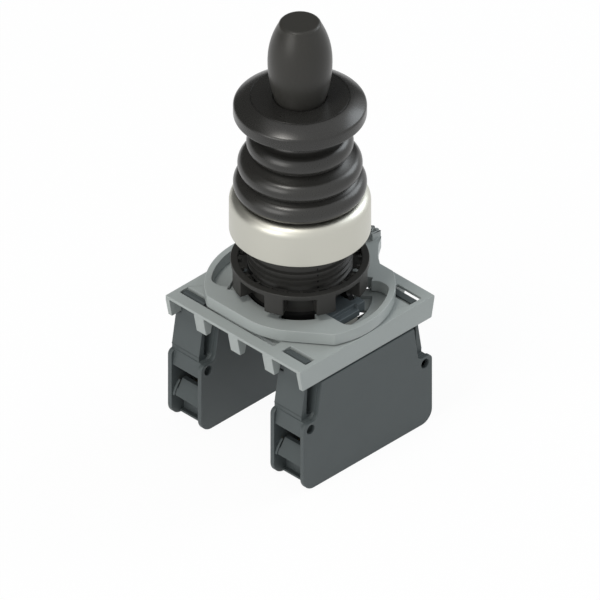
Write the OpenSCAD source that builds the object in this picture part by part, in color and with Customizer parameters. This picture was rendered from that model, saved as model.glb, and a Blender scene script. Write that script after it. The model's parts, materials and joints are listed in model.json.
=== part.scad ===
// Industrial joystick for a 22 mm panel hole: a sprung two-way lever on a threaded barrel,
// with a clip-on adapter and two contact blocks behind the panel.
// The origin is on the lever's axis in the plane of the panel's front face. +Z points along
// the lever, away from the panel. The lever tilts towards +X and -X.

/* [Threaded barrel] */
// Outer radius of the thread, for a 22.3 mm panel hole
barrel_r = 11; // [9:0.05:13.5]
// Wall of the barrel behind the panel
barrel_wall = 1.7; // [1.2:0.1:2.2]
// How far the barrel's head stands out beyond the thread
head_step = 1.2; // [0.8:0.1:1.6]
// Height of the barrel's head above the collar's bottom wall
head_h = 5; // [4:0.1:6.5]
// Length of the barrel's lower end below the adapter's top face
tail_h = 9.6; // [7.8:0.1:12]
// Depth of the guide web's top face below the panel
web_top = 6; // [4.5:0.1:7.5]
// Thickness of the guide web
web_h = 3; // [2:0.1:4]

/* [Panel collar] */
// Wall of the collar
collar_wall = 2.45; // [2:0.05:3.2]
// Height of the collar above the panel
collar_h = 9.1; // [7.5:0.1:12]
// Radius of the collar's rounded top edge
collar_round = 2.3; // [1:0.1:3]
// Thickness of the collar's bottom wall
collar_floor = 1.6; // [1.2:0.1:2.2]
// Depth of the gasket's groove in the collar's underside
gasket_h = 1.0; // [0.6:0.1:1.4]

/* [Lever] */
// Radius of the pivot pin
pin_r = 1.5; // [1.2:0.05:1.8]
// Half of the lever's full tilt, in degrees
tilt_max = 16; // [10:1:20]
// Radius of the steel shaft
shaft_r = 3; // [2.4:0.1:3.7]
// Height of the knob's flat top above the panel
knob_top = 51.9; // [42:0.1:64]
// Largest radius of the knob
knob_r = 6.75; // [5.6:0.05:8.1]
// Radius of the knob's base
knob_base_r = 5.15; // [4.6:0.05:6]
// Radius of the knob's tip
knob_tip_r = 4; // [3:0.1:5.5]
// Radius of the guard disc
disc_r = 13.9; // [11.5:0.1:17]
// Thickness of the guard disc
disc_h = 4.6; // [3.8:0.1:6]

/* [Bellows] */
// Height of the bellows between the collar and the guard disc
bellows_h = 19.5; // [16:0.1:24]
// Wall of the bellows
bellows_t = 1; // [0.8:0.1:1.2]
// How far the lowest fold stands out beyond the collar's bore
fold_out = 1.6; // [1.1:0.1:2]
// How far the middle fold stands in from the lowest one
fold_mid_in = 0.9; // [0.5:0.1:1.2]
// How far the top fold stands in from the middle one
fold_top_in = 1.85; // [1.2:0.05:2.4]

/* [Ring nut] */
// Wall of the nut
nut_wall = 3.45; // [2.8:0.05:4.2]
// Height of the nut's legs and top together
nut_h = 5.1; // [4.2:0.1:6.2]
// Thickness of the nut's solid top
nut_cap = 1.1; // [0.9:0.1:1.6]
// Number of the nut's windows
nut_windows = 8; // [6:1:12]
// Free space between the nut and the locking ring
nut_gap = 1.6; // [1.3:0.1:3]

/* [Adapter] */
// Depth of the adapter's top face below the panel
adapter_z = 17.4; // [14.5:0.1:21]
// Pitch of the four places for contact blocks
place_pitch = 10; // [8.3:0.05:12]
// Rim of the adapter in front of and behind its round hole
adapter_rim = 4.8; // [4.4:0.1:6]
// Thickness of the adapter's top
adapter_t = 1.7; // [1.4:0.1:2.1]
// Depth of the adapter's skirts
skirt_h = 5.2; // [4.3:0.1:6.3]
// Thickness of the locking ring
ring_h = 2.75; // [2.2:0.05:3.3]
// Turn that frees the locking ring, in degrees
unlock_turn = 30; // [24:1:36]

/* [Contact blocks] */
// Gap between two blocks in neighbouring places
block_gap = 0.15; // [0.15:0.05:0.5]
// Depth of a block's lowest edge below the adapter's top face
block_h = 30.9; // [25.7:0.1:37.1]
// How far a block's body stands out beyond its neck
block_step = 1; // [0.8:0.05:1.2]
// Thickness of a block's side walls
block_wall = 1.1; // [0.9:0.05:1.35]
// Radius of a block's lower corners
block_round = 3; // [2:0.1:3.6]

/* [Hidden] */
$fn = 64;
eps = 0.01;

// Clearances
run_gap = 0.05;
hair_gap = 0.1;
slide_gap = 0.15;
free_gap = 0.3;

// Barrel and collar
barrel_bore_r = barrel_r - barrel_wall;
head_r = barrel_r + head_step;
collar_bore_r = head_r + hair_gap;
collar_r = collar_bore_r + collar_wall;
head_top = collar_floor + head_h;
pivot_z = collar_floor + head_h / 2 - hair_gap;
collar_edge = min(collar_round, collar_wall - slide_gap);
groove_h = min(gasket_h, collar_floor - 0.4);
groove_r = collar_r - 1.5;

// Lever
disc_z = collar_h + bellows_h;
disc_top = disc_z + disc_h;
plate_t = 0.8;
plate_r = disc_r - 3.55;
knob_z = disc_top - plate_t;
knob_wide_z = knob_z + 0.49 * (knob_top - knob_z);
knob_edge = 1;
plate_hole_r = knob_at(disc_top) + 0.3;
socket_r = shaft_r + 1.4;
socket_h = 7;
sleeve_r = shaft_r + 1.1;
insert_r = shaft_r + 1.2;
key_r = 0.8;
key_z = pivot_z + 5;
shaft_low = pivot_z + pin_r + 0.8;
shaft_top = knob_top - 6;
disc_drop = 2.9;
disc_curve = 1.4;

// Bellows
fold_r = 2.3;
fold_top_round = 2.5;
fold_turn = 74;
fold_low_r = collar_bore_r + fold_out;
fold_mid_r = fold_low_r - fold_mid_in;
fold_top_r = fold_mid_r - fold_top_in;
fold_low_z = collar_h + 2.4;
fold_top_z = disc_z - 6.8;
fold_mid_z = (fold_low_z + fold_top_z) / 2 - 0.3;
lip_top = collar_h + 0.2;
bellows_top = disc_z - free_gap;
bellows_hole_r = shaft_r + 1.3;

// Rocker, pushers and their springs
push_x = barrel_bore_r - 2.9;
stroke = push_x * sin(tilt_max);
nose_r = 1.5;
arm_half_t = 0.85;
rod_r = 1.7;
rod_top = pivot_z - nose_r - run_gap;
hub_r = min(pin_r + 2.1, push_x - rod_r - 0.6);
hub_half_y = 4.5;
foot_half_y = 3.5;
foot_wide_y = 5.6;
foot_wide_x = barrel_r + 0.3;
foot_in = push_x - 2.3;
spring_x = push_x - 1;
spring_r = 1.85;
wire_r = 0.22;
spigot_r = 1.4;
spigot_h = 1.6;

// Adapter and locking ring
places = 4;
block_w = place_pitch - block_gap;
block_mid = (places / 2 - 0.5) * place_pitch;
foot_out = block_mid - 1;
lug_r = barrel_r - run_gap;
hub_hole_r = barrel_r + 0.4;
adapter_hole_r = max(foot_out + 0.9, barrel_r + 3.9);
half_x = places / 2 * place_pitch - free_gap;
half_y = adapter_hole_r + adapter_rim;
ring_z = -adapter_z + 0.25;
ring_top = ring_z + ring_h;
ring_r = half_y + hair_gap;
bar_in = half_y - 2.9;
bar_t = 0.7;
skirt_z = -adapter_z - skirt_h;
skirt_end = half_y - 1.2;
tooth_half = 1.4;
foot_top = ring_top - 0.5;
foot_z = -adapter_z + hair_gap;

// Bayonet between the barrel and the locking ring
lug_from = 102;
lug_turn = 24;
lug_h = 1.2;
shoulder_low = -adapter_z - 1.5;
ring_skirt_in = adapter_hole_r - 1.6;
ring_skirt_out = adapter_hole_r - free_gap;
ring_skirt_from = 85;
ring_skirt_turn = 43;
tab_from = 29.5;
tab_turn = 22;
tab_h = 0.9;
hook_top = -adapter_z - adapter_t - free_gap;
hook_h = 0.8;
claw_z = hook_top - hook_h + eps;
lug_z = claw_z - lug_h - 0.2;

// Ring nut
nut_r = barrel_r + nut_wall;
nut_z = ring_top + nut_gap;
nut_top = nut_z + nut_h;
nut_groove_r = barrel_r + 1.85;
nut_groove_h = nut_cap + 0.5;

// Lower end of the barrel, between the contact blocks
tail_z = -adapter_z - tail_h;
tail_r = min(barrel_r - free_gap, block_mid - block_w / 2 - 0.65);
tail_bore_r = tail_r - 1.3;
insert_top = tail_z + 2.2;
slot_half_y = foot_half_y + free_gap;
slot_top = foot_top + stroke + free_gap;

// Latch slots in the adapter and the arms in them
slot_near = adapter_hole_r + 0.25;
slot_ledge = 0.9;
slot_half_x = place_pitch / 2 - 1.5;
arm_in = slot_near + 0.2;
neck_half = bar_in - 0.5;
slope_y = neck_half + 1.5;
block_half = slope_y + block_step;

// Contact block, from its lowest edge upwards
block_z = -adapter_z - block_h;
floor_z = block_z + 1.35;
strip_t = 1;
strip_z = floor_z + 4.55;
window_top = strip_z + 7.2;
shoulder_z = window_top + 3.6;
neck_top = -adapter_z - adapter_t - 0.7;
slope_top = skirt_z + 0.2;
trim_z = skirt_z - free_gap;
slit_out = neck_half - 0.6;
slit_in = slit_out - 2.2;
slit_lean = 1.1;
notch_r = 1.4;
slit_low = shoulder_z + notch_r;
chamber_x = block_w / 2 - block_wall;
neck_half_w = min(chamber_x - free_gap, place_pitch / 2 - tooth_half - hair_gap);
arm_x = slot_half_x - 0.5;
terminal_y = block_half - 7.2;
divider_y = terminal_y - 3.2;
sill_y = terminal_y + 3.5;
recess_lean = (shoulder_z - window_top) * (slope_y - neck_half) / (slope_top - shoulder_z);
divider_t = 1;
chamber_y = divider_y - divider_t;
floor_y = block_half - 2.6;
peg_r = 1.1;
peg_y = neck_half + 0.45;
peg_z = shoulder_z - 1.6;

// Switching parts
rivet_t = 0.6;
rivet_r = min(1.3, chamber_x - 1.6);
bridge_y = chamber_y - 3.4;
bridge_z = strip_z + strip_t + 2 * rivet_t + stroke + 0.04;
bridge_t = 0.8;
plunger_x = neck_half_w - 0.8;
plunger_y = 3;
cage_y = 2.2;
cage_h = 6;
window_x = plunger_x - 0.6;
plunger_top = foot_z - hair_gap;
plunger_z = bridge_z - 2.4;
stem_z = bridge_z + cage_h + 0.4;
stem_top = -adapter_z - adapter_t - stroke - 0.45;
screw_r = min(1.6, chamber_x - 1.2);
screw_head_r = min(2.9, chamber_x - 0.45);
screw_head_h = 1.9;
clamp_z = strip_z - 2.6;
clamp_t = 0.8;
clamp_x = chamber_x - 0.45;
strip_x = chamber_x - 1.05;
seat_r = plunger_x - 1;
spring_wire_r = 0.2;

// Shared shapes

// A tube standing on z
module tube(outer, inner, h, z = 0) {
    translate([0, 0, z]) difference() {
        cylinder(r = outer, h = h);
        translate([0, 0, -eps]) cylinder(r = inner, h = h + 2 * eps);
    }
}

// Part of a tube, from one angle through a turn
module arc_wall(outer, inner, h, z, from, turn) {
    translate([0, 0, z]) rotate([0, 0, from])
        rotate_extrude(angle = turn) translate([inner, 0]) square([outer - inner, h]);
}

// A flat rectangle with round corners, centred
module round_rect(w, d, r) {
    square([w - 2 * r, d], center = true);
    square([w, d - 2 * r], center = true);
    for (x = [-1, 1]) {
        for (y = [-1, 1]) {
            translate([x * (w / 2 - r), y * (d / 2 - r)]) circle(r = r);
        }
    }
}

// A box between two corners
module box(low, high) {
    translate(low) cube(high - low);
}

// A shape drawn in Y and Z, given a width along X from x0
module across(x0, w) {
    translate([x0, 0, 0]) rotate([90, 0, 90]) linear_extrude(w) children();
}

// Points on an arc
function arc(cx, cy, r, from, to, n) =
    [for (i = [0 : n]) let (a = from + (to - from) * i / n) [cx + r * cos(a), cy + r * sin(a)]];

// A round wire swept along a helix, as one closed solid with open, unground ends
module coil(coil_r, wire_r, h, turns, steps = 14, sides = 6) {
    n = floor(turns * steps);
    climb = h - 2 * wire_r;
    points = [for (i = [0 : n]) for (j = [0 : sides - 1])
        let (a = 360 * turns * i / n, b = 360 * j / sides)
        let (r = coil_r + wire_r * cos(b))
        [r * cos(a), r * sin(a), wire_r + climb * i / n + wire_r * sin(b)]];
    side_faces = [for (i = [0 : n - 1]) for (j = [0 : sides - 1])
        let (k = (j + 1) % sides)
        [i * sides + j, (i + 1) * sides + j, (i + 1) * sides + k, i * sides + k]];
    start = [[for (j = [0 : sides - 1]) j]];
    end = [[for (j = [sides - 1 : -1 : 0]) n * sides + j]];
    polyhedron(points, concat(side_faces, start, end), convexity = 8);
}

// Places a contact block's piece under the right or the left outer place
module at_block(side) {
    translate([side * block_mid, 0, 0]) children();
}

// Repeats a piece at both ends of a contact block
module both_ends() {
    children();
    mirror([0, 1, 0]) children();
}

// Head, fixed to the panel

module bezel_collar() {
    color("gainsboro") difference() {
        rotate_extrude() polygon(concat(
            [[barrel_r + hair_gap, 0], [collar_r, 0]],
            arc(collar_r - collar_edge, collar_h - collar_edge, collar_edge, 0, 90, 8),
            [[collar_bore_r, collar_h], [collar_bore_r, collar_floor],
                [barrel_r + hair_gap, collar_floor]]));
        tube(groove_r, barrel_r, groove_h + eps, -eps);
    }
}

module panel_gasket() {
    color("dimgray") tube(groove_r - run_gap, barrel_r + 0.2, groove_h);
}

module threaded_barrel() {
    color("#2a2928") difference() {
        union() {
            tube(barrel_r, barrel_bore_r, adapter_z + 1 + collar_floor, -adapter_z - 1);
            tube(head_r, barrel_bore_r, head_h, collar_floor);
            tube(tail_r, tail_bore_r, tail_h - 0.9, tail_z);
            tube(barrel_r, tail_bore_r, 0.6, shoulder_low);
            translate([0, 0, -web_top - web_h]) cylinder(r = barrel_bore_r + eps, h = web_h);
            for (a = [0, 180]) {
                arc_wall(lug_r, tail_r - 0.5, lug_h, lug_z, lug_from + a, lug_turn);
            }
        }
        for (x = [-1, 1]) {
            translate([x * push_x, 0, -web_top - web_h - eps])
                cylinder(r = rod_r + run_gap, h = web_h + 2 * eps);
            box([min(x * 4, x * 2 * barrel_r), -slot_half_y, tail_z - 1],
                [max(x * 4, x * 2 * barrel_r), slot_half_y, slot_top]);
        }
        translate([0, 0, pivot_z]) rotate([90, 0, 0])
            cylinder(r = pin_r, h = 2 * collar_r, center = true);
    }
}

module bellows_clamp_ring() {
    outer = head_r - bellows_t - run_gap;
    color("#33312f") tube(outer, outer - 1.2, collar_h - head_top - 0.2, head_top + run_gap);
}

module pivot_pin() {
    color("silver") translate([0, 0, pivot_z]) rotate([90, 0, 0])
        cylinder(r = pin_r, h = 2 * collar_bore_r - 0.6, center = true);
}

module ring_nut() {
    pitch = 360 / nut_windows;
    bore_r = barrel_r + run_gap;
    color("#2c2b2a") difference() {
        tube(nut_r, bore_r, nut_h, nut_z);
        for (i = [0 : nut_windows - 1]) {
            arc_wall(nut_r + 1, barrel_r, nut_h - nut_cap + eps, nut_z - eps,
                i * pitch - pitch * 0.31, pitch * 0.62);
        }
        translate([0, 0, nut_top - nut_groove_h])
            cylinder(r = nut_groove_r, h = nut_groove_h + eps);
    }
}

module base_insert() {
    color("#3b3937") {
        translate([0, 0, tail_z]) cylinder(r = tail_bore_r, h = insert_top - tail_z);
        for (x = [-1, 1]) {
            translate([x * spring_x, 0, insert_top - eps]) cylinder(r = spigot_r, h = spigot_h);
            intersection() {
                translate([0, 0, tail_z]) cylinder(r = tail_r, h = 1.6);
                box([min(x * 4, x * tail_r), -slot_half_y + hair_gap, tail_z],
                    [max(x * 4, x * tail_r), slot_half_y - hair_gap, tail_z + 1.6]);
            }
        }
    }
}

// Rubber bellows: three round folds between the collar and the guard disc

// The outline of the bellows from its lip in the collar up to the disc, moved inwards by t
function bellows_side(t) = concat(
    [[head_r - t, head_top + run_gap], [head_r - t, lip_top]],
    arc(fold_low_r - fold_r, fold_low_z, fold_r - t, -55, fold_turn, 8),
    arc(fold_mid_r - fold_r, fold_mid_z, fold_r - t, -fold_turn, fold_turn, 8),
    arc(fold_top_r - fold_top_round, fold_top_z, fold_top_round - t, -fold_turn, 60, 8),
    [[fold_top_r - 2.4 - 0.5 * t, disc_z - 3.95 - 0.87 * t],
        [fold_top_r - 2.85 - 0.95 * t, disc_z - 3.1 - 0.2 * t],
        [fold_top_r - 2.85 - t, bellows_top - t]]);

module bellows() {
    inner = bellows_side(bellows_t);
    color("#35332f") rotate_extrude() polygon(concat(
        bellows_side(0),
        [[bellows_hole_r, bellows_top], [bellows_hole_r, bellows_top - bellows_t]],
        [for (i = [len(inner) - 1 : -1 : 0]) inner[i]]));
}

// Lever

module rocker() {
    color("slategray") translate([0, 0, pivot_z]) difference() {
        union() {
            rotate([90, 0, 0]) cylinder(r = hub_r, h = 2 * hub_half_y, center = true);
            cylinder(r = socket_r, h = socket_h);
            cube([2 * push_x, 4, 2 * arm_half_t], center = true);
            for (x = [-1, 1]) {
                translate([x * push_x, 0, 0]) rotate([90, 0, 0])
                    cylinder(r = nose_r, h = 4, center = true);
            }
        }
        rotate([90, 0, 0])
            cylinder(r = pin_r + run_gap, h = 2 * hub_half_y + 1, center = true);
        translate([0, 0, shaft_low - pivot_z]) cylinder(r = shaft_r, h = socket_h);
        translate([0, 0, key_z - pivot_z]) rotate([0, 90, 0])
            cylinder(r = key_r, h = 2 * socket_r + 2, center = true);
    }
}

module hub_pin() {
    color("silver") translate([0, 0, key_z]) rotate([0, 90, 0])
        cylinder(r = key_r, h = 2 * socket_r - hair_gap, center = true);
}

module lever_shaft() {
    color("silver") difference() {
        translate([0, 0, shaft_low]) cylinder(r = shaft_r, h = shaft_top - shaft_low);
        translate([0, 0, key_z]) rotate([0, 90, 0])
            cylinder(r = key_r, h = 2 * socket_r + 2, center = true);
    }
}

module spacer_sleeve() {
    color("silver") tube(sleeve_r, shaft_r, disc_z - pivot_z - socket_h, pivot_z + socket_h);
}

module guard_disc() {
    color("#3a3835") difference() {
        rotate_extrude() polygon(concat(
            [[shaft_r, disc_z], [disc_r - 0.5, disc_z], [disc_r, disc_z + 0.5],
                [disc_r, disc_top - disc_drop]],
            [for (i = [1 : 10]) let (a = 9 * i)
                [plate_r + (disc_r - plate_r) * pow(max(0, cos(a)), disc_curve),
                    disc_top - disc_drop + disc_drop * pow(sin(a), disc_curve)]],
            [[shaft_r, disc_top]]));
        translate([0, 0, disc_top - plate_t]) cylinder(r = plate_r, h = 1);
    }
}

module disc_plate() {
    color("#32302e") tube(plate_r - 0.06, plate_hole_r, plate_t, disc_top - plate_t);
}

// Radius of the knob at a height: it swells to its widest place and tapers to its tip
function knob_at(z) = z < knob_wide_z
    ? knob_r - (knob_r - knob_base_r) * pow((knob_wide_z - z) / (knob_wide_z - knob_z), 2)
    : knob_r - (knob_r - knob_tip_r) * pow((z - knob_wide_z) / (knob_top - knob_wide_z), 2.2);

module knob() {
    steps = 16;
    shoulder = knob_top - knob_edge;
    color("#45423e") difference() {
        rotate_extrude() polygon(concat(
            [[0, knob_z]],
            [for (i = [0 : steps]) let (z = knob_z + (shoulder - knob_z) * i / steps)
                [knob_at(z), z]],
            arc(knob_at(shoulder) - knob_edge - 0.05, shoulder, knob_edge, 25, 90, 4),
            [[0, knob_top]]));
        translate([0, 0, knob_z - eps]) cylinder(r = insert_r, h = shaft_top + 0.5 - knob_z);
    }
}

module knob_insert() {
    color("goldenrod") tube(insert_r, shaft_r, shaft_top - 0.5 - knob_z, knob_z);
}

// Pushers: a rod with a foot that reaches out through the barrel's side

module pusher(side) {
    chamfer = 0.5;
    step = 1.4;
    color("#5a6468") rotate([0, 0, side < 0 ? 180 : 0]) {
        difference() {
            union() {
                box([foot_in, -foot_half_y, foot_z], [foot_out, foot_half_y, foot_top]);
                box([foot_wide_x, foot_half_y - eps, foot_z], [foot_out - 0.6, foot_wide_y, foot_top]);
                translate([push_x, 0, foot_z]) cylinder(r = rod_r, h = rod_top - chamfer - foot_z);
                translate([push_x, 0, rod_top - chamfer - eps])
                    cylinder(r1 = rod_r, r2 = rod_r - 0.6, h = chamfer + eps);
                translate([spring_x, 0, foot_z - spigot_h])
                    cylinder(r = spigot_r, h = spigot_h + eps);
            }
            box([foot_out - step, -foot_half_y - 1, foot_top - 0.9],
                [foot_out + 1, foot_half_y, foot_top + 1]);
        }
    }
}

module pusher_left() {
    pusher(-1);
}

module pusher_right() {
    pusher(1);
}

module pusher_spring(side) {
    color("silver") translate([side * spring_x, 0, insert_top])
        coil(spring_r, wire_r, foot_z - insert_top, 5.5);
}

module pusher_spring_left() {
    pusher_spring(-1);
}

module pusher_spring_right() {
    pusher_spring(1);
}

// Adapter

// The side of a tooth or of the bar above them, sloping in towards its lower edge
module skirt_profile(h, inner) {
    lean = 0.2;
    straight = min(h, 1.1);
    polygon(concat([[-half_y, 0], [-half_y, -straight]],
        h > straight ? [[-half_y + (h - straight) * lean, -h]] : [],
        [[inner, -h], [0.6 - bar_in, 0]]));
}

module toothed_edge() {
    translate([0, 0, -adapter_z]) {
        across(-half_x, 2 * half_x) skirt_profile(bar_t, 0.5 - bar_in);
        for (i = [-places / 2 : places / 2]) {
            x0 = max(-half_x, i * place_pitch - tooth_half);
            x1 = min(half_x, i * place_pitch + tooth_half);
            across(x0, x1 - x0) skirt_profile(skirt_h, 2.2 - half_y);
        }
    }
}

module adapter_plate() {
    wall_x = block_mid + neck_half_w + hair_gap;
    color("#9aa29e") difference() {
        union() {
            box([-half_x, -bar_in - eps, -adapter_z - adapter_t],
                [half_x, bar_in + eps, -adapter_z]);
            both_ends() toothed_edge();
            for (x = [-1, 1]) {
                box([min(x * half_x, x * wall_x), -skirt_end, skirt_z],
                    [max(x * half_x, x * wall_x), skirt_end, -adapter_z]);
            }
        }
        translate([0, 0, -adapter_z - 10]) cylinder(r = adapter_hole_r, h = 20);
        latch_slots(-1, bar_in, slot_near - 0.95);
        latch_slots(1, bar_in + 0.3, slot_near - 1.65);
    }
    // Four tabs centre the adapter on the barrel
    color("#9aa29e") for (a = [tab_from, 180 - tab_from - tab_turn]) {
        for (b = [0, 180]) {
            arc_wall(adapter_hole_r + eps, barrel_r + slide_gap, tab_h, -adapter_z - adapter_t,
                a + b, tab_turn);
        }
    }
}

// The slots through the adapter's top that the contact blocks' latch arms reach into, with a
// ledge for their noses: one slot for a single place and a long one for the other three
module latch_slots(side, far, ledge) {
    single = [block_mid - slot_half_x, block_mid + slot_half_x];
    long = [-block_mid - slot_half_x, 0.9 * place_pitch];
    for (span = [single, long]) {
        box([span[0], min(side * slot_near, side * far), -adapter_z - adapter_t - 1],
            [span[1], max(side * slot_near, side * far), -adapter_z + 1]);
        box([span[0], min(side * ledge, side * far), -adapter_z - slot_ledge],
            [span[1], max(side * ledge, side * far), -adapter_z + 1]);
    }
}

// Outline of the locking ring: a disc with two flats that bend into slanting flats
module ring_outline() {
    bend_r = bar_in - 1.3;
    slant = 37;
    bend = arc(1.2, bend_r - bar_in, bend_r, -90, slant - 90, 8);
    end = bend[len(bend) - 1] + 1.5 * ring_r * [cos(slant), sin(slant)];
    flats = concat([[-2 * ring_r, -bar_in]], bend, [end, [end[0], 2 * ring_r],
        [-2 * ring_r, 2 * ring_r]]);
    intersection() {
        circle(r = ring_r);
        polygon(flats);
        rotate(180) polygon(flats);
    }
}

// Room beside the barrel for a pusher's foot, at rest and while the ring turns past it
module ring_pocket() {
    low = -foot_half_y - 0.4;
    high = foot_out * sin(unlock_turn) + foot_half_y + 1.8;
    out = ring_r - 1.35;
    near = 9.5;
    r = 2.4;
    low_x = sqrt(pow(out - r, 2) - pow(low + r, 2));
    high_x = sqrt(pow(out - r, 2) - pow(high - r, 2));
    low_a = atan2(low + r, low_x);
    high_a = atan2(high - r, high_x);
    polygon(concat([[near, low]], arc(low_x, low + r, r, -90, low_a, 6),
        arc(0, 0, out, low_a + 2, high_a - 2, 8), arc(high_x, high - r, r, high_a, 90, 5),
        arc(near + r, high - r, r, 90, 180, 5)));
    rotate(unlock_turn) translate([foot_in, -foot_half_y - free_gap])
        square([foot_out - foot_in, foot_half_y + foot_wide_y + 2 * free_gap]);
}

// The arm that reaches back from the ring, seen from above
pad_y = bar_in + 7;
pad_x = [-5.2, 0];
arm_points = [[8.2, bar_in - 1.2], [4.5, bar_in + 1.6], [1.7, bar_in + 4.6], [pad_x[1], pad_y],
    [pad_x[0], pad_y], [-6.4, bar_in + 3.8], [-9, bar_in - 2.8], [0, bar_in - 3.8]];

module locking_lever() {
    pad_z = ring_top + 1.7;
    groove_r = 0.35;
    color("#929b98") difference() {
        union() {
            translate([0, 0, ring_z]) linear_extrude(ring_h) difference() {
                union() {
                    ring_outline();
                    polygon(arm_points);
                }
                circle(r = hub_hole_r);
                for (a = [0, 180]) {
                    rotate(a) ring_pocket();
                }
            }
            box([pad_x[0], pad_y - 2.6, ring_top - 0.5], [pad_x[1], pad_y, pad_z]);
            for (a = [0, 180]) {
                arc_wall(ring_skirt_out, ring_skirt_in, ring_z + 0.5 - hook_top, hook_top,
                    ring_skirt_from + a, ring_skirt_turn);
                arc_wall(adapter_hole_r + 0.6, ring_skirt_in, hook_h, claw_z,
                    ring_skirt_from + a, ring_skirt_turn);
                arc_wall(ring_skirt_in + eps, tail_r + 0.35, hook_h, claw_z, lug_from + a, lug_turn);
            }
        }
        for (a = [0, 180]) {
            arc_wall(hub_hole_r + 1.75, hub_hole_r - 1, 2 * ring_h, ring_z - 1, -64.5 + a, 35);
        }
        for (i = [0 : 4]) {
            translate([pad_x[0] + 0.1 + i * 1.2, pad_y + 0.1, ring_top])
                cylinder(r = groove_r, h = 3);
        }
        for (y = [2.1, 1]) {
            translate([pad_x[1] - 1.1, pad_y - y, pad_z - 0.3]) cylinder(r = groove_r, h = 1);
        }
    }
}

// Contact blocks

// Takes the sharp corner off an outline at [y, z], towards the middle along dy and dz
module corner_cut(y, z, r, dy, dz) {
    translate([y, z]) scale([dy, dz]) difference() {
        translate([-1, -1]) square(r + 1);
        translate([r, r]) circle(r = r);
    }
}

// The block's side outline in Y and Z: a box with round corners and a neck that slopes in
module block_outline() {
    difference() {
        polygon([[-block_half, block_z], [block_half, block_z], [block_half, shoulder_z],
            [slope_y, shoulder_z], [neck_half, slope_top], [neck_half, neck_top],
            [-neck_half, neck_top], [-neck_half, slope_top], [-slope_y, shoulder_z],
            [-block_half, shoulder_z]]);
        for (y = [-1, 1]) {
            corner_cut(y * block_half, block_z, block_round, -y, 1);
            corner_cut(y * block_half, shoulder_z, 1.2, -y, -1);
        }
    }
}

// The slit that frees a latch arm, open upwards
module latch_slit() {
    low_in = slit_in + slit_lean;
    low_out = slit_out + 0.4;
    r = (low_out - low_in) / 2;
    polygon(concat([[slit_in, neck_top + 5], [slit_in, slope_top]],
        arc(low_in + r, slit_low, r, 180, 360, 8),
        [[slit_out, slope_top], [slit_out, neck_top + 5]]));
}

// Room beside a latch arm: the cover ends here, and the arm is set back behind it
module arm_notch() {
    polygon(concat([[slit_in, neck_top + 5], [slit_in, slope_top]],
        arc(slit_in + slit_lean + notch_r, slit_low, notch_r, 180, 270, 6),
        [[block_half + 1, shoulder_z], [block_half + 1, neck_top + 5]]));
}

// A latch arm's upper end, with the nose that sits on the adapter's ledge
module latch_arm() {
    nose = arm_in - 0.75;
    polygon([[arm_in, neck_top - 2], [neck_half, neck_top - 2],
        [neck_half, -adapter_z - 0.5], [neck_half - 0.4, -adapter_z - 0.1],
        [nose, -adapter_z - 0.4], [nose, -adapter_z - 0.8], [arm_in, -adapter_z - 0.8]]);
}

module block_side() {
    difference() {
        block_outline();
        latch_slit();
        mirror([1, 0]) latch_slit();
    }
}

module block_housing(side) {
    color("#565f61") at_block(side) difference() {
        union() {
            across(-block_w / 2, block_w - block_wall) block_side();
            across(free_gap - slot_half_x, slot_half_x + arm_x - free_gap) both_flat() latch_arm();
        }
        across(arm_x, block_w) both_flat() arm_notch();
        for (x = [-1, 1]) {
            box([min(x * neck_half_w, x * block_w), -block_half - 1, trim_z],
                [max(x * neck_half_w, x * block_w), block_half + 1, 0]);
        }
        box([-plunger_x - slide_gap, -plunger_y - slide_gap, bridge_z + cage_h],
            [plunger_x + slide_gap, plunger_y + slide_gap, 0]);
        box([-chamber_x, -chamber_y, floor_z], [chamber_x + 1, chamber_y, bridge_z + cage_h + 1]);
        both_ends() {
            box([-chamber_x, divider_y, floor_z], [chamber_x + 1, sill_y - 0.5, window_top]);
            box([-chamber_x, divider_y, clamp_z - hair_gap], [chamber_x + 1, block_half + 1, window_top]);
            box([-chamber_x, floor_y, block_z - 1], [chamber_x + 1, block_half + 1, window_top]);
            box([-strip_x - slide_gap, chamber_y - 1, strip_z - run_gap],
                [chamber_x + 1, divider_y + 1, strip_z + strip_t + run_gap]);
            across(-chamber_x, block_w) polygon([[slope_y + recess_lean, window_top - eps],
                [block_half + 1, window_top - eps], [block_half + 1, shoulder_z + 2],
                [slope_y, shoulder_z + 2], [slope_y, shoulder_z]]);
            box([-chamber_x, sill_y, block_z + 0.7], [chamber_x + 1, block_half + 1, window_top]);
            translate([0, terminal_y, block_z - 1]) cylinder(r = screw_head_r - free_gap, h = 4);
            across(chamber_x - 0.4, 5) translate([peg_y, peg_z]) circle(r = peg_r);
        }
        box([-chamber_x, -floor_y, block_z - 1], [chamber_x + 1, floor_y, block_z + 0.2]);
    }
}

// A flat shape and its mirror image
module both_flat() {
    children();
    mirror([1, 0]) children();
}

module block_housing_left() {
    block_housing(-1);
}

module block_housing_right() {
    block_housing(1);
}

module block_cover(side) {
    color("#565f61") at_block(side) difference() {
        across(block_w / 2 - block_wall, block_wall) difference() {
            block_outline();
            both_flat() arm_notch();
            both_flat() translate([peg_y, peg_z]) circle(r = peg_r);
        }
        box([0, -block_half - 1, trim_z], [block_w, block_half + 1, 0]);
    }
}

module block_cover_left() {
    block_cover(-1);
}

module block_cover_right() {
    block_cover(1);
}

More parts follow.
